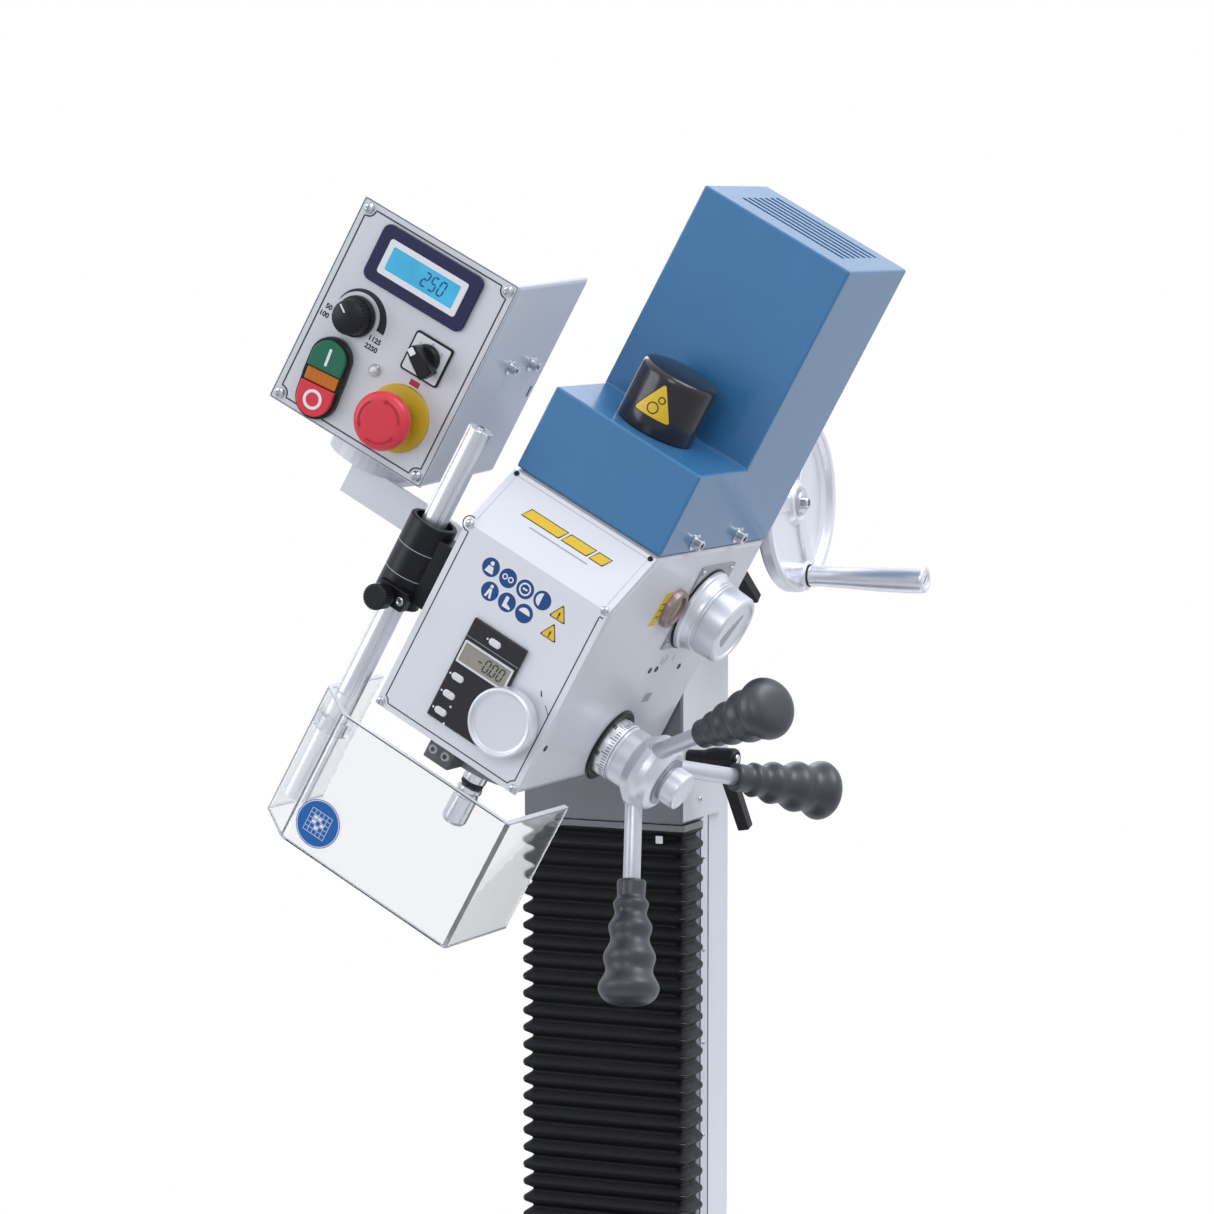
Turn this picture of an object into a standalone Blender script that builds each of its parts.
"""Benchtop milling machine with a tilting geared head, as an assembly of separate solids.

Metres, +Z up, +X to the operator's right, +Y to the back. The origin is the middle of the base's underside.
The head is built upright in its own frame, an empty that is tilted about the pivot on the head slide.
In that frame X runs across the head, Y to its back and Z up the spindle, from the foot of the front plate.
"""

import math

import bmesh
import bpy
from mathutils import Matrix, Vector

MM = 0.001
GAP = 0.3 * MM  # left between pieces that touch

# Bench side: base, cross saddle and table, stacked from the bench up
BASE_SIZE = Vector((180, 420, 60)) * MM
BASE_BACK = 205 * MM
SPINDLE_Y = -50 * MM
SADDLE_SIZE = Vector((150, 160, 40)) * MM
TABLE_SIZE = Vector((480, 150, 46)) * MM
TABLE_SLOT_PITCH = 44 * MM
TABLE_END = 12 * MM
TABLE_SLOT = (10 * MM, 17 * MM, 7 * MM, 8 * MM)  # mouth width, foot width, foot height, mouth depth
SCREW_RADIUS = 7 * MM
FEED_WHEEL_RADIUS = 40 * MM
X_SCREW_Z = 86 * MM
Y_SCREW_Z = 44 * MM

# Column and head slide
COLUMN_HALF_WIDTH = 58 * MM
COLUMN_FRONT = 136 * MM
COLUMN_BACK = 190 * MM
COLUMN_TOP = 660 * MM
CAP_TOP = 706 * MM
WAY_HALF_WIDTH = 34 * MM
WAY_FRONT = 110 * MM
LEADSCREW_Y = 165 * MM
LEADSCREW_RADIUS = 8 * MM
SLIDE_HALF_WIDTH = 62 * MM
SLIDE_FRONT = 94 * MM
SLIDE_BOTTOM = 457 * MM
SLIDE_HEIGHT = 210 * MM
BELLOWS_HALF_WIDTH = 64 * MM
BELLOWS_BACK = 128 * MM
BELLOWS_BOTTOM = 64 * MM
WHEEL_AXIS_Z = 684 * MM
WHEEL_RADIUS = 64 * MM
WHEEL_X = 120 * MM
LEVER_Y = 104 * MM
LEVER_HEIGHTS = (505.5 * MM, 656.5 * MM)
LEVER_LENGTHS = (39 * MM, 38 * MM)
LEVER_TURNS = (math.radians(20), math.radians(42))

# Head, in its own frame
HEAD_TILT = math.radians(29)
PIVOT = Vector((0, SLIDE_FRONT, 558 * MM))
PIVOT_UP = 29 * MM
HEAD_HALF_WIDTH = 60 * MM
HEAD_DEPTH = 222 * MM
HEAD_CLEARANCE = 2 * MM
HEAD_HEIGHT = 182 * MM
PLATE_BEND = 142 * MM
PLATE_RECESS = 37 * MM
PLATE_THICKNESS = 2 * MM
LEDGE_TOP = 244 * MM
TOWER_FRONT = 114.5 * MM
TOWER_TOP = 397 * MM
SHEET = 2 * MM
SPINDLE_AXIS_Y = 80 * MM
QUILL_RADIUS = 30 * MM
QUILL_FOOT = -22 * MM
CHAMBER_FLOOR = 118 * MM
FEED_AXIS = (124 * MM, 25 * MM)  # depth and height of the quill pinion
ROD_SLANT = math.radians(34)
ROD_PHASES = (-24, -144, 96)  # degrees from straight down
ROD_APEX = 82.5 * MM
ROD_RADIUS = 6 * MM
GRIP_START = 84 * MM
GRIP_END = 170 * MM
GEAR_MODULE = 2 * MM
SPINDLE_TEETH, SMALL_TEETH, LARGE_TEETH, MOTOR_TEETH = 30, 15, 27, 18
RANGE_AXIS = (156 * MM, 132 * MM)
SIGHT_AXIS = (107 * MM, 137 * MM)
FINE_AXIS = (32 * MM, 42 * MM)

# Chip guard: the post's place, and the walk round the screen seen from above
POST_AXIS = (-87 * MM, 18 * MM)
SCREEN_CORNERS = ((-100.5, 88), (-100.5, 11), (-69, -20), (72, -20), (72, 75))
SCREEN_WALK = [Vector(corner) * MM for corner in SCREEN_CORNERS]
SCREEN_LOW, SCREEN_HIGH = -111 * MM, -12.5 * MM
SCREEN_WALL = 3.5 * MM

# Control box, in its own frame: its swivel's axis is Z, and its underside is Z = 0
BOX_SWIVEL = Vector((-182, 95, 133)) * MM
BOX_YAW = math.radians(4)
BOX_HALF_WIDTH = 63.3 * MM
BOX_HALF_DEPTH = 65 * MM
BOX_HEIGHT = 155.5 * MM
BOX_WALL = 2.5 * MM
PANEL_FRONT = -BOX_HALF_DEPTH
SPEED_AT = (-31.3 * MM, 80.2 * MM)
ESTOP_AT = (27 * MM, 34 * MM)
CAM_AT = (27.5 * MM, 80.4 * MM)
CAM_TURN = math.radians(56)
START_AT = (-33.1 * MM, 49 * MM)
STOP_AT = (-30.3 * MM, 15 * MM)
PANEL_HOLES = (SPEED_AT, ESTOP_AT, CAM_AT, START_AT, STOP_AT)
PANEL_HOLE_RADII = (4 * MM, 11 * MM, 5 * MM, 5 * MM, 5 * MM)

# Swivel drum and bracket under the control box
SWIVEL_RADIUS = 30 * MM
BRACKET_TOP = 113 * MM
BRACKET_LIP = 25 * MM
BRACKET_END = -184 * MM
BRACKET_FRONT = 76 * MM
BRACKET_SHEET = 4 * MM

COLOURS = {
    "white_paint": ((0.78, 0.79, 0.80), 0.35, 0.0),
    "blue_paint": ((0.10, 0.23, 0.36), 0.35, 0.0),
    "grey_paint": ((0.25, 0.26, 0.28), 0.5, 0.0),
    "cast_iron": ((0.30, 0.30, 0.31), 0.45, 0.9),
    "steel": ((0.55, 0.56, 0.58), 0.3, 1.0),
    "aluminium": ((0.70, 0.71, 0.73), 0.35, 1.0),
    "black_plastic": ((0.02, 0.02, 0.025), 0.35, 0.0),
    "rubber": ((0.015, 0.015, 0.017), 0.6, 0.0),
    "clear_plastic": ((0.85, 0.90, 0.92), 0.05, 0.0),
    "red_plastic": ((0.75, 0.04, 0.03), 0.35, 0.0),
    "green_plastic": ((0.02, 0.25, 0.12), 0.35, 0.0),
    "navy_plastic": ((0.02, 0.03, 0.10), 0.4, 0.0),
}


def start_scene():
    for obj in list(bpy.data.objects):
        bpy.data.objects.remove(obj)
    collections = []
    for name in ("benchtop_milling_machine", "cutters"):
        collection = bpy.data.collections.new(name)
        bpy.context.scene.collection.children.link(collection)
        collections.append(collection)
    return collections


def material(name):
    found = bpy.data.materials.get(name)
    if found:
        return found
    colour, roughness, metallic = COLOURS[name]
    made = bpy.data.materials.new(name)
    made.use_nodes = True
    shader = made.node_tree.nodes["Principled BSDF"]
    shader.inputs["Base Color"].default_value = (*colour, 1)
    shader.inputs["Roughness"].default_value = roughness
    shader.inputs["Metallic"].default_value = metallic
    return made


PARTS, CUTTERS = start_scene()


def empty(name, location, rotation=(0, 0, 0), parent=None):
    obj = bpy.data.objects.new(name, None)
    PARTS.objects.link(obj)
    obj.location = location
    obj.rotation_euler = rotation
    obj.parent = parent
    return obj


# Meshes


def mm(*values):
    return Vector(values) * MM


def mesh_from(bm, smooth=False):
    bmesh.ops.recalc_face_normals(bm, faces=bm.faces)
    mesh = bpy.data.meshes.new("mesh")
    bm.to_mesh(mesh)
    bm.free()
    if smooth:
        mesh.shade_smooth()
        mesh.set_sharp_from_angle(angle=math.radians(40))
    return mesh


def box(low, high):
    low, high = Vector(low), Vector(high)
    bm = bmesh.new()
    place = Matrix.Translation((low + high) / 2) @ Matrix.Diagonal((*(high - low), 1))
    bmesh.ops.create_cube(bm, size=1, matrix=place)
    return mesh_from(bm)


def rod(start, end, radius, end_radius=None, sides=20):
    """A cylinder, or a cone, between two points."""
    start, end = Vector(start), Vector(end)
    turn = (end - start).to_track_quat("Z", "Y").to_matrix().to_4x4()
    bm = bmesh.new()
    bmesh.ops.create_cone(
        bm, cap_ends=True, segments=sides, radius1=radius, depth=(end - start).length,
        radius2=radius if end_radius is None else end_radius,
        matrix=Matrix.Translation((start + end) / 2) @ turn,
    )
    return mesh_from(bm, smooth=True)


def outline(points, closed=True):
    """Edges through 2D points, in the XZ plane."""
    bm = bmesh.new()
    verts = [bm.verts.new((x, 0, z)) for x, z in points]
    for first, second in zip(verts, verts[1:] + verts[:1] if closed else verts[1:]):
        bm.edges.new((first, second))
    mesh = bpy.data.meshes.new("mesh")
    bm.to_mesh(mesh)
    bm.free()
    return mesh


def prism(points, thickness):
    """A flat outline in XY, thickened upwards from Z = 0."""
    bm = bmesh.new()
    face = bm.faces.new([bm.verts.new((x, y, 0)) for x, y in points])
    lifted = bmesh.ops.extrude_face_region(bm, geom=[face])["geom"]
    verts = [item for item in lifted if isinstance(item, bmesh.types.BMVert)]
    bmesh.ops.translate(bm, verts=verts, vec=(0, 0, thickness))
    return mesh_from(bm)


def folded(points, low, high):
    """An open sheet through 2D points in XY, standing from Z = low to high."""
    bm = bmesh.new()
    rows = [[bm.verts.new((x, y, z)) for x, y in points] for z in (low, high)]
    for i in range(len(points) - 1):
        bm.faces.new((rows[0][i], rows[0][i + 1], rows[1][i + 1], rows[1][i]))
    mesh = bpy.data.meshes.new("mesh")
    bm.to_mesh(mesh)
    bm.free()
    return mesh


def gear_outline(teeth, turn=0.0):
    """Spur teeth with straight flanks, thinner than half the pitch so that they run with backlash."""
    pitch_radius = teeth * GEAR_MODULE / 2
    step = 2 * math.pi / teeth
    corners = (
        (-0.30, pitch_radius - 1.25 * GEAR_MODULE),
        (-0.12, pitch_radius + 0.9 * GEAR_MODULE),
        (0.12, pitch_radius + 0.9 * GEAR_MODULE),
        (0.30, pitch_radius - 1.25 * GEAR_MODULE),
    )
    points = []
    for tooth in range(teeth):
        for along, radius in corners:
            angle = turn + (tooth + along) * step
            points.append((radius * math.cos(angle), radius * math.sin(angle)))
    return points


# Objects


def part(name, colour, mesh, parent=None, location=(0, 0, 0), rotation=(0, 0, 0)):
    obj = bpy.data.objects.new(name, mesh)
    PARTS.objects.link(obj)
    mesh.materials.append(material(colour))
    obj.parent = parent
    obj.location = location
    obj.rotation_euler = rotation
    return obj


def turned(name, colour, profile, parent=None, location=(0, 0, 0), rotation=(0, 0, 0), sides=20):
    """A profile of (radius, height) points, down its outer side, turned about Z."""
    obj = part(name, colour, outline(profile, closed=False), parent, location, rotation)
    screw(obj, sides)
    return obj


def ring(name, colour, inner, outer, low, high, parent=None, location=(0, 0, 0), rotation=(0, 0, 0)):
    profile = [(outer, high), (outer, low), (inner, low), (inner, high)]
    obj = part(name, colour, outline(profile), parent, location, rotation)
    screw(obj, 24)
    return obj


def screw(obj, sides):
    modifier = obj.modifiers.new("turn", "SCREW")
    modifier.steps = modifier.render_steps = sides
    modifier.use_merge_vertices = True
    modifier.merge_threshold = 1e-5
    modifier.use_smooth_shade = True


def shape(obj, operation, mesh, location=(0, 0, 0), rotation=(0, 0, 0)):
    """Cuts a mesh from the object, or joins it on, in the object's own frame."""
    tool = bpy.data.objects.new(obj.name + "_tool", mesh)
    CUTTERS.objects.link(tool)
    tool.parent = obj
    tool.location = location
    tool.rotation_euler = rotation
    tool.hide_render = True
    tool.display_type = "WIRE"
    modifier = obj.modifiers.new(operation.lower(), "BOOLEAN")
    modifier.operation = operation
    modifier.object = tool
    return obj


def cut(obj, mesh, location=(0, 0, 0), rotation=(0, 0, 0)):
    return shape(obj, "DIFFERENCE", mesh, location, rotation)


def join(obj, mesh, location=(0, 0, 0), rotation=(0, 0, 0)):
    return shape(obj, "UNION", mesh, location, rotation)


def bevel(obj, width, segments=2):
    modifier = obj.modifiers.new("bevel", "BEVEL")
    modifier.width = width
    modifier.segments = segments
    modifier.limit_method = "ANGLE"
    modifier.angle_limit = math.radians(40)


def solidify(obj, thickness, offset=1.0):
    modifier = obj.modifiers.new("sheet", "SOLIDIFY")
    modifier.thickness = thickness
    modifier.offset = offset
    modifier.use_even_offset = True


ALONG_X = (0, math.pi / 2, 0)
TO_FRONT = (math.pi / 2, 0, 0)


# Bench side


def stack_heights():
    """Undersides of the saddle and the table."""
    saddle = BASE_SIZE.z + GAP
    return saddle, saddle + SADDLE_SIZE.z + GAP


def make_base():
    half, front = BASE_SIZE.x / 2, BASE_BACK - BASE_SIZE.y
    base = part("base", "white_paint", box((-half, front, 0), (half, BASE_BACK, BASE_SIZE.z)))
    bevel(base, 6 * MM)
    trough = 32 * MM
    screw_room = box((-trough / 2, front - MM, 22 * MM), (trough / 2, 60 * MM, BASE_SIZE.z + MM))
    cut(base, screw_room)
    for y in (front + 30 * MM, BASE_BACK - 22 * MM):
        for x in (-half + 18 * MM, half - 18 * MM):
            cut(base, rod((x, y, -MM), (x, y, BASE_SIZE.z + MM), 5.5 * MM, sides=16))
    bracket = box((-24 * MM, front - 10 * MM, 12 * MM), (24 * MM, front + 4 * MM, 56 * MM))
    join(base, bracket)
    bore_ends = (0, front - 20 * MM, Y_SCREW_Z), (0, front + 20 * MM, Y_SCREW_Z)
    cut(base, rod(*bore_ends, SCREW_RADIUS + GAP, sides=16))
    return front


def make_saddle():
    low = stack_heights()[0]
    half = SADDLE_SIZE / 2
    saddle = part(
        "cross_saddle", "cast_iron", box((-half.x, -half.y, 0), (half.x, half.y, SADDLE_SIZE.z)),
        location=(0, SPINDLE_Y, low),
    )
    bevel(saddle, 2 * MM)
    way = 44 * MM
    for side in (-1, 1):
        inner, outer = (-half.x - MM, side * way), (half.x + MM, side * 95 * MM)
        cut(saddle, box((*inner, SADDLE_SIZE.z - 14 * MM), (*outer, 50 * MM)))
    x_screw = X_SCREW_Z - low
    cut(saddle, rod((-90 * MM, 0, x_screw), (90 * MM, 0, x_screw), SCREW_RADIUS + 4 * GAP, sides=16))
    nut = box((-12 * MM, -12 * MM, -30 * MM), (12 * MM, 12 * MM, 4 * MM))
    join(saddle, nut)
    y_screw = Y_SCREW_Z - low
    cut(saddle, rod((0, -14 * MM, y_screw), (0, 14 * MM, y_screw), SCREW_RADIUS + GAP, sides=16))


def make_table():
    low = stack_heights()[1]
    half = TABLE_SIZE / 2
    table = part(
        "table", "cast_iron", box((-half.x, -half.y, 0), (half.x, half.y, TABLE_SIZE.z)),
        location=(0, SPINDLE_Y, low),
    )
    bevel(table, 1.5 * MM)
    mouth, foot, foot_height, mouth_depth = TABLE_SLOT
    top = TABLE_SIZE.z
    end = half.x + MM
    for row in (-1, 0, 1):
        y = row * TABLE_SLOT_PITCH
        cut(table, box((-end, y - mouth / 2, top - mouth_depth - MM), (end, y + mouth / 2, top + MM)))
        foot_top = top - mouth_depth
        cut(table, box((-end, y - foot / 2, foot_top - foot_height), (end, y + foot / 2, foot_top)))
    screw_z = X_SCREW_Z - low
    for side in (-1, 1):
        inner, outer = sorted((side * (half.x - 4 * MM), side * (half.x + TABLE_END)))
        join(table, box((inner, -30 * MM, screw_z - 15 * MM), (outer, 30 * MM, 28 * MM)))
        bore_ends = (inner - MM, 0, screw_z), (outer + MM, 0, screw_z)
        cut(table, rod(*bore_ends, SCREW_RADIUS + GAP, sides=16))


def hand_wheel(name, radius, colour="aluminium"):
    """A dished wheel about its own Z: rim, web and a hub with a bore."""
    rim = 7 * MM
    web = radius - rim - 2 * MM
    profile = [
        (radius, 6 * MM), (radius, -6 * MM), (radius - rim, -6 * MM), (web, -3 * MM), (14 * MM, -6 * MM),
        (14 * MM, -16 * MM), (SCREW_RADIUS + GAP, -16 * MM), (SCREW_RADIUS + GAP, 4 * MM), (14 * MM, 4 * MM),
        (web, 3 * MM), (radius - rim, 6 * MM),
    ]
    obj = part(name, colour, outline(profile))
    screw(obj, 28)
    return obj


def crank_handle(name, wheel, radius, length, big):
    """A tapered grip with a rounded end, along the wheel's +Z."""
    profile = [
        (0, length), (big * 0.6, length - 0.5 * MM), (big, length - 5 * MM), (big, length - 16 * MM),
        (big * 0.72, 8 * MM), (big * 0.85, 4 * MM), (big * 0.85, 0), (0, 0),
    ]
    return turned(name, "aluminium", profile, wheel, (0, -radius, 11 * MM), sides=14)


def feed_screw(name, start, wheel_at, rotation, wheel_name, handle_name):
    """A leadscrew with its wheel and its crank handle. The wheel's Z points out of the machine."""
    direction = (wheel_at - start).normalized()
    part(name, "steel", rod(start, wheel_at + direction * 3 * MM, SCREW_RADIUS, sides=16))
    wheel = hand_wheel(wheel_name, FEED_WHEEL_RADIUS)
    wheel.location = wheel_at
    wheel.rotation_euler = rotation
    crank_handle(handle_name, wheel, FEED_WHEEL_RADIUS - 10 * MM, 52 * MM, 9 * MM)


# Column


def make_column():
    half, way, foot = COLUMN_HALF_WIDTH, WAY_HALF_WIDTH, BASE_SIZE.z + GAP
    column = part("column", "white_paint", box((-half, COLUMN_FRONT, foot), (half, COLUMN_BACK, COLUMN_TOP)))
    bevel(column, 3 * MM)
    join(column, box((-way, WAY_FRONT, foot), (way, COLUMN_FRONT + MM, COLUMN_TOP)))
    for side in (-1, 1):
        flank = WAY_HALF_WIDTH * side
        cut(column, box((flank - 7 * MM, 116 * MM, 50 * MM), (flank + 7 * MM, 125 * MM, COLUMN_TOP + MM)))
    well = box((-18 * MM, 146 * MM, 80 * MM), (18 * MM, 184 * MM, COLUMN_TOP + MM))
    cut(column, well)
    cut(column, box((-13 * MM, 100 * MM, 80 * MM), (13 * MM, 150 * MM, COLUMN_TOP + MM)))


def make_column_cap():
    cap = part(
        "column_cap", "white_paint",
        box((-COLUMN_HALF_WIDTH, COLUMN_FRONT, COLUMN_TOP + GAP), (COLUMN_HALF_WIDTH, COLUMN_BACK, CAP_TOP)),
    )
    bevel(cap, 4 * MM)
    y, z = LEADSCREW_Y, WHEEL_AXIS_Z
    join(cap, rod((COLUMN_HALF_WIDTH - MM, y, z), (92 * MM, y, z), 19 * MM))
    cut(cap, box((-24 * MM, 141 * MM, COLUMN_TOP - MM), (36 * MM, 186 * MM, CAP_TOP - 4 * MM)))
    cut(cap, rod((30 * MM, y, z), (93 * MM, y, z), SCREW_RADIUS + GAP))


def make_leadscrew():
    """The vertical screw with the bevel gear on its top."""
    foot = 84 * MM
    turned(
        "z_leadscrew", "steel",
        [(0, 674 * MM), (6 * MM, 674 * MM), (14 * MM, 666 * MM), (14 * MM, 662 * MM),
         (LEADSCREW_RADIUS, 662 * MM), (LEADSCREW_RADIUS, foot), (0, foot)],
        location=(0, LEADSCREW_Y, 0),
    )


def make_z_wheel():
    """The cross shaft with its bevel gear, and the wheel that turns it."""
    turned(
        "z_bevel_shaft", "steel",
        [(0, 118 * MM), (SCREW_RADIUS, 118 * MM), (SCREW_RADIUS, 22 * MM), (14 * MM, 22 * MM),
         (14 * MM, 18 * MM), (6.5 * MM, 10.5 * MM), (0, 10.5 * MM)],
        location=(0, LEADSCREW_Y, WHEEL_AXIS_Z), rotation=ALONG_X,
    )
    wheel = hand_wheel("z_handwheel", WHEEL_RADIUS)
    wheel.location = (WHEEL_X, LEADSCREW_Y, WHEEL_AXIS_Z)
    wheel.rotation_euler = (math.pi / 2, 0, math.pi / 2)
    crank_handle("z_crank_handle", wheel, WHEEL_RADIUS - 12 * MM, 88 * MM, 10 * MM)


def make_slide():
    top = SLIDE_BOTTOM + SLIDE_HEIGHT
    back = COLUMN_FRONT - 1.5 * MM
    half = SLIDE_HALF_WIDTH
    slide = part("head_slide", "cast_iron", box((-half, SLIDE_FRONT, SLIDE_BOTTOM), (half, back, top)))
    bevel(slide, 1.5 * MM)
    clear = WAY_HALF_WIDTH + GAP
    cut(slide, box((-clear, WAY_FRONT - GAP, SLIDE_BOTTOM - MM), (clear, back + MM, top + MM)))
    for side in (-1, 1):
        key = box((side * 28 * MM, 117 * MM, SLIDE_BOTTOM), (side * 40 * MM, 124 * MM, top))
        join(slide, key)
    arm = box((-11 * MM, WAY_FRONT - 5 * MM, 520 * MM), (11 * MM, 181 * MM, 556 * MM))
    join(slide, arm)
    cut(slide, rod((0, LEADSCREW_Y, 510 * MM), (0, LEADSCREW_Y, 570 * MM), LEADSCREW_RADIUS + GAP))
    cut(slide, rod((0, SLIDE_FRONT - MM, PIVOT.z), (0, 109 * MM, PIVOT.z), 12 * MM + GAP))
    for z in LEVER_HEIGHTS:
        cut(slide, rod((46 * MM, LEVER_Y, z), (63 * MM, LEVER_Y, z), 4 * MM + GAP, sides=16))


def make_levers():
    """Indexable levers that pull the gib tight."""
    names = ("lower_clamp_lever", "upper_clamp_lever")
    for name, z, length, turn in zip(names, LEVER_HEIGHTS, LEVER_LENGTHS, LEVER_TURNS):
        profile = [
            (0, length), (9 * MM, length), (9 * MM, 12 * MM), (6 * MM, 10 * MM),
            (6 * MM, 1 * MM), (4 * MM, 1 * MM), (4 * MM, -14 * MM), (0, -14 * MM),
        ]
        place = (SLIDE_HALF_WIDTH, LEVER_Y, z)
        lever = turned(name, "black_plastic", profile, location=place, rotation=ALONG_X, sides=16)
        arm = rod((4 * MM, 0, length - 8 * MM), (52 * MM, 0, length), 6 * MM, 4.5 * MM, sides=12)
        join(lever, arm, rotation=(0, 0, turn))


def make_bellows():
    top = SLIDE_BOTTOM - 5 * MM
    bellows = part(
        "bellows", "rubber",
        box((-BELLOWS_HALF_WIDTH, SLIDE_FRONT, BELLOWS_BOTTOM), (BELLOWS_HALF_WIDTH, BELLOWS_BACK, top)),
    )
    room = WAY_HALF_WIDTH + 2 * MM
    cut(bellows, box((-room, WAY_FRONT - 2 * MM, BELLOWS_BOTTOM - MM), (room, BELLOWS_BACK + MM, top + MM)))


# Head


def make_housing(head):
    half, front = HEAD_HALF_WIDTH, PLATE_THICKNESS + GAP
    block = box((-half, front, 0), (half, HEAD_DEPTH, HEAD_HEIGHT))
    housing = part("head_housing", "white_paint", block, head)
    slope = math.atan2(PLATE_RECESS, HEAD_HEIGHT - PLATE_BEND)
    inward = (PLATE_THICKNESS + GAP) / math.cos(slope)
    wedge = box((-80 * MM, -60 * MM, -20 * MM), (80 * MM, 0, 90 * MM))
    cut(housing, wedge, (0, inward, PLATE_BEND), (-slope, 0, 0))
    bevel(housing, 4 * MM)
    chamber = box((-51 * MM, 46 * MM, CHAMBER_FLOOR), (51 * MM, HEAD_DEPTH - 9 * MM, HEAD_HEIGHT + MM))
    cut(housing, chamber)
    spindle_foot, spindle_top = (0, SPINDLE_AXIS_Y, -MM), (0, SPINDLE_AXIS_Y, CHAMBER_FLOOR + MM)
    cut(housing, rod(spindle_foot, spindle_top, QUILL_RADIUS + GAP, sides=32))
    y, z = FEED_AXIS
    cut(housing, rod((-17 * MM, y, z), (17 * MM, y, z), 14.4 * MM, sides=20))
    cut(housing, rod((10 * MM, y, z), (61 * MM, y, z), 8 * MM + GAP, sides=20))
    cut(housing, rod((0, 195 * MM, PIVOT_UP), (0, HEAD_DEPTH + MM, PIVOT_UP), 12 * MM + GAP))
    y, z = RANGE_AXIS
    cut(housing, rod((40 * MM, y, z), (61 * MM, y, z), 6 * MM + GAP, sides=16))
    x, z = FINE_AXIS
    cut(housing, rod((x, 0, z), (x, 16 * MM, z), 6 * MM + GAP, sides=16))
    y, z = SIGHT_AXIS
    cut(housing, rod((54 * MM, y, z), (61 * MM, y, z), 9 * MM + GAP, sides=20))


def make_front_plate(head):
    """One sheet, bent where the head's face leans back."""
    half = HEAD_HALF_WIDTH - 0.5 * MM
    shortened = 1.6 * MM  # the sheet's inner edge stands this much higher than its outer edge
    lean = PLATE_RECESS / (HEAD_HEIGHT - PLATE_BEND)
    top = HEAD_HEIGHT - shortened
    points = [(0, 0), (PLATE_BEND, 0), (top, -lean * (top - PLATE_BEND))]
    turn = (0, -math.pi / 2, math.pi)
    plate = part("front_plate", "white_paint", folded(points, -half, half), head, rotation=turn)
    solidify(plate, PLATE_THICKNESS)
    x, z = FINE_AXIS
    cut(plate, rod((z, 5 * MM, x), (z, -5 * MM, x), 6 * MM + GAP, sides=16))


def make_drive_cover(head):
    """A folded cover: a low box over the gears and a tower over the motor."""
    low = HEAD_HEIGHT + GAP
    half, front, back = HEAD_HALF_WIDTH, PLATE_RECESS, HEAD_DEPTH
    cover = part("drive_cover", "blue_paint", box((-half, front, low), (half, back, LEDGE_TOP)), head)
    join(cover, box((-half, TOWER_FRONT, LEDGE_TOP - 10 * MM), (half, back, TOWER_TOP)))
    bevel(cover, 1.5 * MM)
    inside = half - SHEET
    inner_back = back - SHEET
    cut(cover, box((-inside, front + SHEET, low - MM), (inside, inner_back, LEDGE_TOP - SHEET)))
    tower_foot = (-inside, TOWER_FRONT + SHEET, LEDGE_TOP - 5 * MM)
    cut(cover, box(tower_foot, (inside, inner_back, TOWER_TOP - SHEET)))
    cut(cover, rod((0, SPINDLE_AXIS_Y, LEDGE_TOP - 5 * MM), (0, SPINDLE_AXIS_Y, LEDGE_TOP + MM), 20 * MM))
    for row in range(7):
        y = TOWER_FRONT + (26 + 10 * row) * MM
        cut(cover, box((-42 * MM, y, TOWER_TOP - 5 * MM), (42 * MM, y + 4.5 * MM, TOWER_TOP + MM)))


def make_spindle_cap(head):
    radius, height = 28 * MM, 45 * MM
    wall = 2 * MM
    inner_top = height - 2 * wall
    profile = [
        (0, height), (radius * 0.62, height - MM), (radius * 0.92, height - 3 * MM),
        (radius, height - 7 * MM), (radius, 0), (radius - wall, 0),
        (radius - wall, height - 8 * MM), (radius * 0.6, inner_top),
        (0, inner_top),
    ]
    turned("spindle_cap", "black_plastic", profile, head, (0, SPINDLE_AXIS_Y, LEDGE_TOP + GAP), sides=24)


def gear(name, teeth, low, high, bore, head, y, turn=0.0):
    """A spur gear about Z. Its own origin is on its axis."""
    obj = part(name, "steel", prism(gear_outline(teeth, turn), high - low), head, (0, y, low))
    if bore:
        cut(obj, rod((0, 0, -MM), (0, 0, high - low + MM), bore, sides=20))
    return obj


def gear_places():
    """Depths of the intermediate shaft and of the motor shaft."""
    middle = SPINDLE_AXIS_Y + (SPINDLE_TEETH + SMALL_TEETH) * GEAR_MODULE / 2
    return middle, middle + (LARGE_TEETH + MOTOR_TEETH) * GEAR_MODULE / 2


def make_gears(head):
    """Two reductions. Each pair has a tooth of one in a gap of the other, on the line of centres."""
    middle, motor = gear_places()
    towards_back = math.pi / 2
    gear("spindle_gear", SPINDLE_TEETH, 136 * MM, 147 * MM, 10.4 * MM, head, SPINDLE_AXIS_Y, towards_back)
    small_turn = -towards_back + math.pi / SMALL_TEETH
    low = 135 * MM
    pair = gear("intermediate_gear", SMALL_TEETH, low, 150 * MM, 0, head, middle, small_turn)
    join(pair, prism(gear_outline(LARGE_TEETH, towards_back), 12 * MM), (0, 0, 149 * MM - low))
    join(pair, rod((0, 0, 119 * MM - low), (0, 0, 176 * MM - low), 6 * MM, sides=16))
    motor_turn = -towards_back + math.pi / MOTOR_TEETH
    gear("motor_pinion", MOTOR_TEETH, 151 * MM, 163 * MM, 7 * MM + GAP, head, motor, motor_turn)


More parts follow.
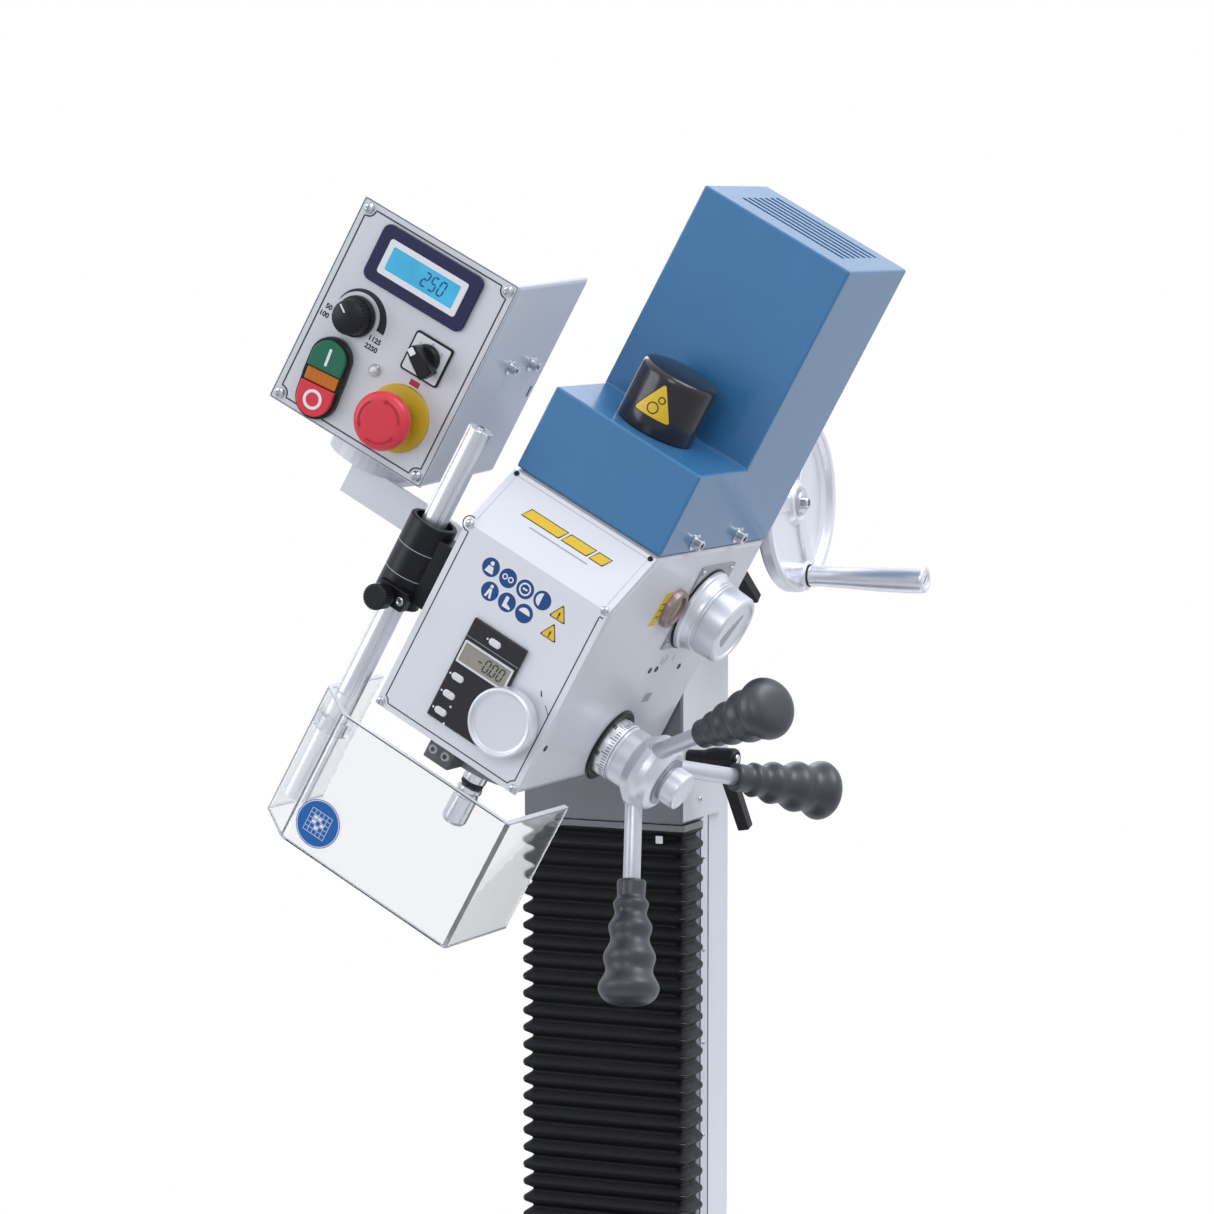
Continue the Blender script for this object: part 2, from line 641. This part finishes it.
def make_motor(head):
    motor = gear_places()[1]
    profile = [
        (0, 372 * MM), (30 * MM, 372 * MM), (44 * MM, 364 * MM), (44 * MM, 214 * MM), (47 * MM, 212 * MM),
        (47 * MM, 203 * MM), (18 * MM, 203 * MM), (18 * MM, 196 * MM), (7 * MM, 196 * MM), (7 * MM, 150 * MM),
        (0, 150 * MM),
    ]
    turned("motor", "grey_paint", profile, head, (0, motor, 0), sides=20)


def make_quill(head):
    """The quill, its clamp collar, and the spindle with its bearing and arbor, all on the spindle's axis."""
    at = (0, SPINDLE_AXIS_Y, 0)
    bearing_top = QUILL_FOOT + 18 * MM
    top = 98 * MM
    quill = ring("quill", "steel", 13 * MM, QUILL_RADIUS, QUILL_FOOT, top, head, at)
    cut(quill, rod((0, 0, QUILL_FOOT - MM), (0, 0, bearing_top), 22 * MM, sides=24))
    ring("spindle_bearing", "steel", 12.3 * MM, 21.7 * MM, QUILL_FOOT + 2 * MM, bearing_top - GAP, head, at)
    collar = ring("quill_collar", "grey_paint", QUILL_RADIUS + GAP, 36 * MM, -20.5 * MM, -4.5 * MM, head, at)
    join(collar, box((-20 * MM, -58 * MM, -20.5 * MM), (0, -33 * MM, -4.5 * MM)))
    spindle = [
        (0, 250 * MM), (9 * MM, 250 * MM), (10 * MM, 248 * MM), (10 * MM, 100 * MM), (12 * MM, 99 * MM),
        (12 * MM, QUILL_FOOT + MM), (0, QUILL_FOOT + MM),
    ]
    turned("spindle", "steel", spindle, head, at)
    foot = QUILL_FOOT + MM - GAP
    arbor = [
        (0, foot), (8.3 * MM, foot), (8.3 * MM, -37 * MM), (7.2 * MM, -37.5 * MM), (7.2 * MM, -39.5 * MM),
        (9 * MM, -41 * MM), (9 * MM, -43.5 * MM), (8.2 * MM, -44.5 * MM), (8.2 * MM, -47.5 * MM),
        (9 * MM, -48.5 * MM), (9 * MM, -67 * MM), (7.5 * MM, -69.5 * MM), (0, -70 * MM),
    ]
    turned("drill_arbor", "steel", arbor, head, at, sides=14)


def make_feed(head):
    """The quill pinion, its graduated dial, and the hub with its three slanted rods and grips."""
    y, z = FEED_AXIS
    shaft = rod((-15 * MM, 0, 0), (104 * MM, 0, 0), 8 * MM, sides=20)
    pinion = part("feed_pinion", "steel", shaft, head, (0, y, z))
    join(pinion, rod((-15 * MM, 0, 0), (15 * MM, 0, 0), 13.4 * MM, sides=20))
    bore = 8 * MM + GAP
    ring("feed_dial", "aluminium", bore, 21.5 * MM, 61 * MM, 71 * MM, head, (0, y, z), ALONG_X)
    hub_profile = [
        (0, 124 * MM), (13.5 * MM, 124 * MM), (13.5 * MM, 112 * MM), (12 * MM, 110 * MM), (20 * MM, 109 * MM),
        (28 * MM, 101 * MM), (28 * MM, 95 * MM), (20.5 * MM, 85 * MM), (20.5 * MM, 71.5 * MM),
        (0, 71.5 * MM),
    ]
    hub = turned("feed_hub", "aluminium", hub_profile, head, (0, y, z), ALONG_X, sides=24)
    cut(hub, rod((0, 0, 70 * MM), (0, 0, 104.3 * MM), bore, sides=20))
    for number, phase in enumerate(map(math.radians, ROD_PHASES), 1):
        across = Vector((0, math.sin(phase), -math.cos(phase)))
        direction = across * math.cos(ROD_SLANT) + Vector((math.sin(ROD_SLANT), 0, 0))
        turn = direction.to_track_quat("Z", "Y").to_euler()
        place = Vector((ROD_APEX, y, z))
        in_hub = 24 * MM
        socket = rod((0, 0, in_hub), (0, 0, 50 * MM), ROD_RADIUS + GAP, sides=16)
        local = Matrix.Rotation(-math.pi / 2, 3, "Y") @ direction
        cut(hub, socket, (0, 0, ROD_APEX), local.to_track_quat("Z", "Y").to_euler())
        spoke = rod((0, 0, in_hub + GAP), (0, 0, GRIP_START + 14 * MM), ROD_RADIUS, sides=16)
        part(f"feed_rod_{number}", "steel", spoke, head, place, turn)
        grip = turned(f"feed_grip_{number}", "rubber", grip_profile(), head, place, turn, sides=14)
        cut(grip, rod((0, 0, GRIP_START - MM), (0, 0, GRIP_START + 14.3 * MM), ROD_RADIUS + GAP, sides=16))


def grip_profile():
    """Four swellings, each larger than the last."""
    knots = (
        (84, 13), (79, 20), (74.5, 21), (62, 16.2), (53.4, 18), (40.6, 13.4), (32.5, 15), (22.6, 10.9),
        (16, 12.3), (11, 9.6), (0, 9.6),
    )
    points = [(0, GRIP_END)] + [(radius * MM, GRIP_START + along * MM) for along, radius in knots]
    return points + [(0, GRIP_START)]


def make_head_controls(head):
    y, z = RANGE_AXIS
    range_profile = [
        (0, 92 * MM), (22 * MM, 92 * MM), (24 * MM, 89 * MM), (25.5 * MM, 67 * MM), (30.5 * MM, 66 * MM),
        (30.5 * MM, 62 * MM), (6 * MM, 62 * MM), (6 * MM, 44 * MM), (0, 44 * MM),
    ]
    turned("range_knob", "aluminium", range_profile, head, (0, y, z), ALONG_X, sides=24)
    y, z = SIGHT_AXIS
    sight = [
        (0, 63 * MM), (9 * MM, 63 * MM), (10 * MM, 65 * MM), (13 * MM, 65 * MM), (14.5 * MM, 63 * MM),
        (14.5 * MM, 60.3 * MM), (9 * MM, 60.3 * MM), (9 * MM, 55 * MM), (0, 55 * MM),
    ]
    turned("oil_sight", "aluminium", sight, head, (0, y, z), ALONG_X)
    case = box((-22 * MM, -3 * MM, 14.7 * MM), (22 * MM, -GAP, 90.2 * MM))
    display = part("dro_display", "black_plastic", case, head)
    bevel(display, 0.6 * MM, 1)
    x, z = FINE_AXIS
    knob = [
        (0, 15.5 * MM), (20.5 * MM, 15.5 * MM), (21.5 * MM, 17 * MM), (23.5 * MM, 16 * MM),
        (23.5 * MM, 4 * MM),
        (6 * MM, 4 * MM), (6 * MM, -12 * MM), (0, -12 * MM),
    ]
    turned("fine_feed_knob", "aluminium", knob, head, (x, 0, z), TO_FRONT, sides=24)
    bolt_reach = 14 * MM
    part("tilt_bolt", "steel", rod((0, -bolt_reach, 0), (0, bolt_reach, 0), 12 * MM), location=PIVOT)


# Chip guard


def make_guard(head):
    x, y = POST_AXIS
    barrel = rod((x, y, 63 * MM), (x, y, 125 * MM), 17 * MM, sides=28)
    holder = part("guard_holder", "black_plastic", barrel, head)
    join(holder, box((x, y - 10 * MM, 70 * MM), (-HEAD_HALF_WIDTH - GAP, y + 10 * MM, 118 * MM)))
    cut(holder, rod((x, y, 60 * MM), (x, y, 130 * MM), 9.2 * MM, sides=20))
    cut(holder, rod((x, y, 68 * MM), (x, y - 20 * MM, 68 * MM), 4 * MM + GAP, sides=12))
    knob = [
        (0, 36 * MM), (6 * MM, 36 * MM), (7.5 * MM, 34 * MM), (7.5 * MM, 22 * MM), (5 * MM, 19 * MM),
        (4 * MM, 18 * MM), (4 * MM, 9.6 * MM), (0, 9.6 * MM),
    ]
    turned("guard_knob", "black_plastic", knob, head, (x, y, 68 * MM), TO_FRONT, sides=16)
    post = part("guard_post", "aluminium", rod((0, 0, -95 * MM), (0, 0, 196 * MM), 8.8 * MM), head, (x, y, 0))
    for turn in range(4):
        groove = box((6 * MM, -1.6 * MM, -96 * MM), (10 * MM, 1.6 * MM, 197 * MM))
        cut(post, groove, rotation=(0, 0, turn * math.pi / 2 + math.pi / 4))
    screen = part("guard_screen", "clear_plastic", folded(SCREEN_WALK, SCREEN_LOW, SCREEN_HIGH), head)
    solidify(screen, SCREEN_WALL, -1)


# Control box


def make_control_box(head):
    front, top, sheet = BRACKET_FRONT, BRACKET_TOP, BRACKET_SHEET
    inner = -HEAD_HALF_WIDTH - GAP
    lip = box((BRACKET_END, front, top - BRACKET_LIP), (inner, front + sheet, top))
    bracket = part("box_bracket", "white_paint", lip, head)
    join(bracket, box((BRACKET_END, front, top - sheet), (-150 * MM, BOX_SWIVEL.y + 22 * MM, top)))
    join(bracket, box((inner - 6 * MM, front, top - 30 * MM), (inner, front + 36 * MM, top + 6 * MM)))
    x, y = BOX_SWIVEL.xy
    join(bracket, rod((x, y, top - MM), (x, y, BOX_SWIVEL.z - GAP), SWIVEL_RADIUS, sides=32))
    frame = empty("control_box_frame", BOX_SWIVEL, (0, 0, BOX_YAW), head)
    half, depth, wall = BOX_HALF_WIDTH, BOX_HALF_DEPTH, BOX_WALL
    back_of_panel = -depth + 2 * MM
    shell = box((-half, back_of_panel + GAP, 0), (half, depth, BOX_HEIGHT))
    housing = part("control_box", "white_paint", shell, frame)
    bevel(housing, 2.5 * MM)
    inside = box((-half + wall, -depth - MM, wall), (half - wall, depth - wall, BOX_HEIGHT - wall))
    cut(housing, inside)
    panel_sheet = box((-half, -depth, 0), (half, back_of_panel, BOX_HEIGHT))
    panel = part("control_panel", "aluminium", panel_sheet, frame)
    for (x, z), radius in zip(PANEL_HOLES, PANEL_HOLE_RADII):
        cut(panel, rod((x, -depth - MM, z), (x, -depth + 5 * MM, z), radius + 2 * GAP, sides=16))
    return frame


def panel_piece(name, colour, profile, at, frame, sides=20):
    """A turned piece on the panel, its Z pointing out to the front."""
    x, z = at
    return turned(name, colour, profile, frame, (x, PANEL_FRONT, z), TO_FRONT, sides)


def make_box_controls(frame):
    shank = -24 * MM
    bezel = part(
        "display_bezel", "navy_plastic",
        box((-41 * MM, PANEL_FRONT - 3 * MM, 106.8 * MM), (41 * MM, PANEL_FRONT - GAP, 148.5 * MM)), frame,
    )
    bevel(bezel, 1 * MM, 1)
    speed = [
        (0, 17 * MM), (11 * MM, 17 * MM), (12 * MM, 15.5 * MM), (13 * MM, 4 * MM), (13.6 * MM, 1.5 * MM),
        (4 * MM, 1.5 * MM), (4 * MM, shank), (0, shank),
    ]
    panel_piece("speed_knob", "black_plastic", speed, SPEED_AT, frame)
    estop = [
        (0, 33 * MM), (14 * MM, 32.5 * MM), (19 * MM, 29 * MM), (20 * MM, 24 * MM), (18 * MM, 19.5 * MM),
        (11 * MM, 17 * MM), (11 * MM, shank), (0, shank),
    ]
    panel_piece("estop_button", "red_plastic", estop, ESTOP_AT, frame)
    cam = [
        (0, 11 * MM), (10 * MM, 11 * MM), (11 * MM, 10 * MM), (11 * MM, 6.5 * MM), (5 * MM, 6.5 * MM),
        (5 * MM, shank), (0, shank),
    ]
    knob = panel_piece("cam_switch_knob", "black_plastic", cam, CAM_AT, frame)
    bar = box((-4 * MM, -12 * MM, 9 * MM), (4 * MM, 12 * MM, 19 * MM))
    join(knob, bar, rotation=(0, 0, CAM_TURN))
    button = [
        (0, 12 * MM), (10 * MM, 12 * MM), (11 * MM, 10.5 * MM), (11 * MM, 6.5 * MM), (5 * MM, 6.5 * MM),
        (5 * MM, shank), (0, shank),
    ]
    panel_piece("start_button", "green_plastic", button, START_AT, frame)
    panel_piece("stop_button", "red_plastic", button, STOP_AT, frame)


def main():
    front = make_base()
    make_saddle()
    make_table()
    end = TABLE_SIZE.x / 2 + TABLE_END
    inner_end, wheel_end = (Vector((x, SPINDLE_Y, X_SCREW_Z)) for x in (4 * MM - end, end + 19 * MM))
    turn = (math.pi / 2, 0, math.pi / 2)
    feed_screw("x_leadscrew", inner_end, wheel_end, turn, "x_handwheel", "x_crank_handle")
    feed_screw(
        "y_leadscrew", Vector((0, 40 * MM, Y_SCREW_Z)), Vector((0, front - 29 * MM, Y_SCREW_Z)),
        (math.pi / 2, 0, 0), "y_handwheel", "y_crank_handle",
    )
    make_column()
    make_column_cap()
    make_leadscrew()
    make_z_wheel()
    make_slide()
    make_levers()
    make_bellows()
    tilt = Matrix.Rotation(HEAD_TILT, 3, "Y")
    foot = PIVOT - tilt @ Vector((0, HEAD_DEPTH + HEAD_CLEARANCE, PIVOT_UP))
    head = empty("head_frame", foot, (0, HEAD_TILT, 0))
    make_housing(head)
    make_front_plate(head)
    make_drive_cover(head)
    make_spindle_cap(head)
    make_gears(head)
    make_motor(head)
    make_quill(head)
    make_feed(head)
    make_head_controls(head)
    make_guard(head)
    frame = make_control_box(head)
    make_box_controls(frame)


main()
